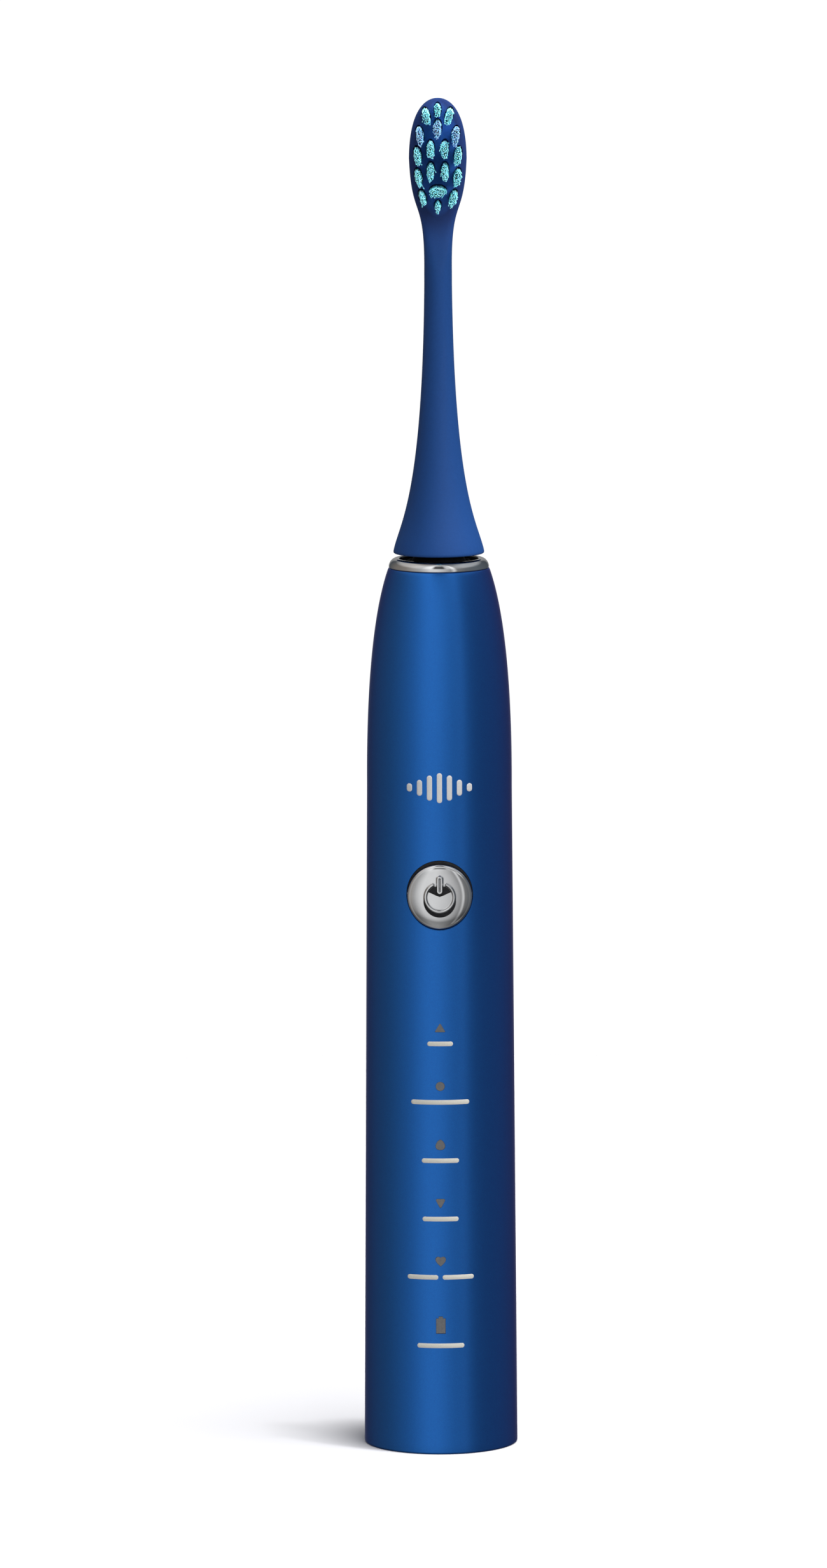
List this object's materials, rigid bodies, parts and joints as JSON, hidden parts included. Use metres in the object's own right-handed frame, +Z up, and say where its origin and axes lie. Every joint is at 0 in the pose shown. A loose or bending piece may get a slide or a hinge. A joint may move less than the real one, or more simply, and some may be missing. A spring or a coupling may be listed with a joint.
{
  "type": "electric toothbrush",
  "caption": "Upright sonic electric toothbrush: round tapered handle with a sprung power button, a swinging drive shaft and a push-on tufted brush head.",
  "frame": {"origin": "centre of the handle's bottom rim, on the surface that it stands on", "axes": "+Z up the handle towards the brush head; the bristles and the power button face -Y; +X is to the right seen from the bristle side"},
  "size_m": [0.0282, 0.0282, 0.2479],
  "materials": {
    "blue_shell": "satin",
    "blue_head": "satin",
    "chrome_trim": "polished",
    "black_rubber": "matte",
    "silicone": "matte",
    "bristle_teal": "satin",
    "bristle_blue": "satin",
    "window_grey": "satin",
    "white_plastic": "satin",
    "grey_plastic": "satin",
    "black_plastic": "satin",
    "board_green": "satin",
    "copper_wire": "satin",
    "cell_sleeve": "gloss",
    "ferrite": "matte",
    "laminated_core": "satin",
    "magnet": "polished",
    "bronze": "satin",
    "bare_steel": "satin"
  },
  "bodies": {
    "handle": {"handle_shell": "blue_shell", "collar_ring": "chrome_trim", "shaft_seal": "black_rubber", "base_cap": "blue_shell", "base_o_ring": "black_rubber", "coil_bobbin": "black_plastic", "charging_coil": "copper_wire", "ferrite_plate": "ferrite", "chassis": "white_plastic", "circuit_board": "board_green", "light_guide": "window_grey", "light_baffle": "black_plastic", "battery_cell": "cell_sleeve", "battery_tab_lower": "bare_steel", "battery_tab_upper": "bare_steel", "battery_pad": "black_rubber", "board_screw_1": "bare_steel", "board_screw_2": "bare_steel", "board_screw_3": "bare_steel", "board_screw_4": "bare_steel", "tact_switch": "black_plastic", "button_boot": "silicone", "motor_can": "bare_steel", "motor_end_cap": "grey_plastic", "stator_core": "laminated_core", "winding_back": "copper_wire", "winding_front": "copper_wire", "motor_damper": "black_rubber", "rear_bush": "bronze", "front_bush": "bronze", "motor_nose": "white_plastic"},
    "power_button": {"power_button": "chrome_trim"},
    "switch_plunger": {"switch_plunger": "grey_plastic"},
    "drive_shaft": {"drive_shaft": "bare_steel", "rotor_yoke": "grey_plastic", "rotor_magnet_left": "magnet", "rotor_magnet_right": "magnet"},
    "brush_head": {"head_shell": "blue_head", "head_coupler": "white_plastic", "coupler_clip": "bare_steel", "tuft_01": "bristle_teal", "tuft_02": "bristle_teal", "tuft_03": "bristle_teal", "tuft_04": "bristle_blue", "tuft_05": "bristle_blue", "tuft_06": "bristle_blue", "tuft_07": "bristle_teal", "tuft_08": "bristle_teal", "tuft_09": "bristle_teal", "tuft_10": "bristle_teal", "tuft_11": "bristle_teal", "tuft_12": "bristle_teal", "tuft_13": "bristle_teal", "tuft_14": "bristle_teal", "tuft_15": "bristle_teal", "tuft_16": "bristle_teal", "tuft_17": "bristle_teal", "tuft_18": "bristle_teal"}
  },
  "joints": [
    {"name": "button_press", "type": "slide", "parent": "handle", "child": "power_button", "axis": [0, 1, 0], "range_m": [0, 0.0005], "stiffness_N_per_m": 3500, "deforming": ["button_boot"]},
    {"name": "switch_press", "type": "slide", "parent": "handle", "child": "switch_plunger", "axis": [0, 1, 0], "range_m": [0, 0.0005]},
    {"name": "shaft_swing", "type": "hinge", "parent": "handle", "child": "drive_shaft", "pos_m": [0, 0, 0.14], "axis": [0, 0, 1], "range_deg": [-5, 5], "stiffness_Nm_per_rad": 0.25},
    {"name": "head_pull", "type": "slide", "parent": "drive_shaft", "child": "brush_head", "axis": [0, 0, 1], "range_m": [0, 0.02]}
  ],
  "couplings": [
    {"joint": "switch_press", "follows": "button_press", "ratio": 1}
  ]
}
